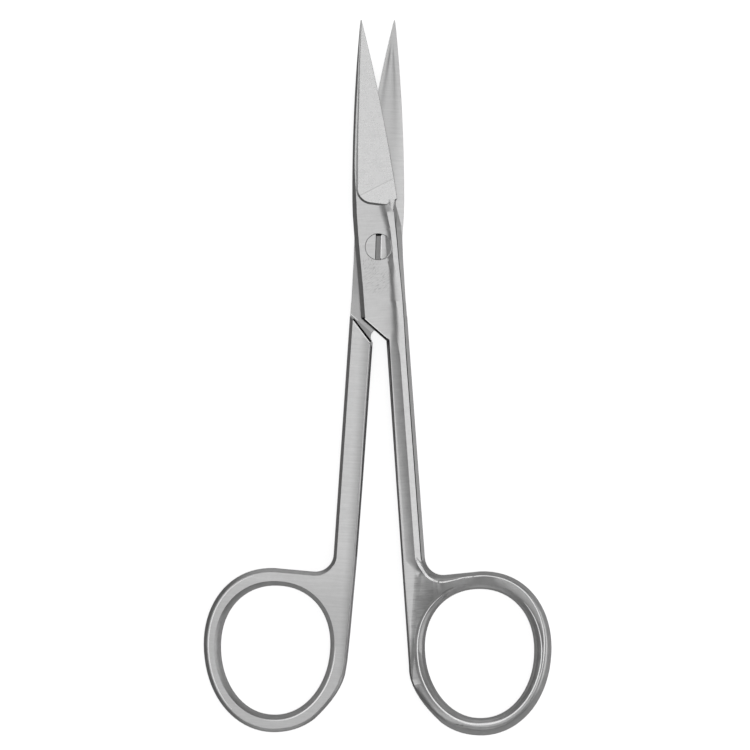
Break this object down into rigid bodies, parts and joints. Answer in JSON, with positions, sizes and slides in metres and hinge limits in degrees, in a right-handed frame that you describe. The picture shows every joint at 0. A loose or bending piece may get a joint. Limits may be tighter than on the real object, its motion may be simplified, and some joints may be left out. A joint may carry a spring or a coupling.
{
  "type": "fine scissors",
  "caption": "Straight fine scissors: slim sharp ground blades crossing at a lap joint on a slotted pivot screw, with long shanks and oval finger bows.",
  "frame": {"origin": "the pivot's axis, on the plane that the closed box rests on: the centre of the screw's flush end in the rear half", "axes": "+Y along the scissors towards the tips, +Z along the pivot's axis out of the front half, +X to the right seen from the front; the two halves stand open by equal angles about +Y"},
  "size_m": [0.0628, 0.1292, 0.0039],
  "materials": {
    "rear_half_steel": "satin, brushed across its length",
    "front_half_steel": "satin, brushed across its length",
    "pivot_screw_steel": "satin, ground flush with the box"
  },
  "bodies": {
    "rear": {"rear_half": "rear_half_steel", "pivot_screw": "pivot_screw_steel"},
    "front": {"front_half": "front_half_steel"}
  },
  "joints": [
    {"name": "pivot", "type": "hinge", "parent": "rear", "child": "front", "pos_m": [0, 0, 0.00195], "axis": [0, 0, 1], "range_deg": [-8.1, 120]}
  ]
}
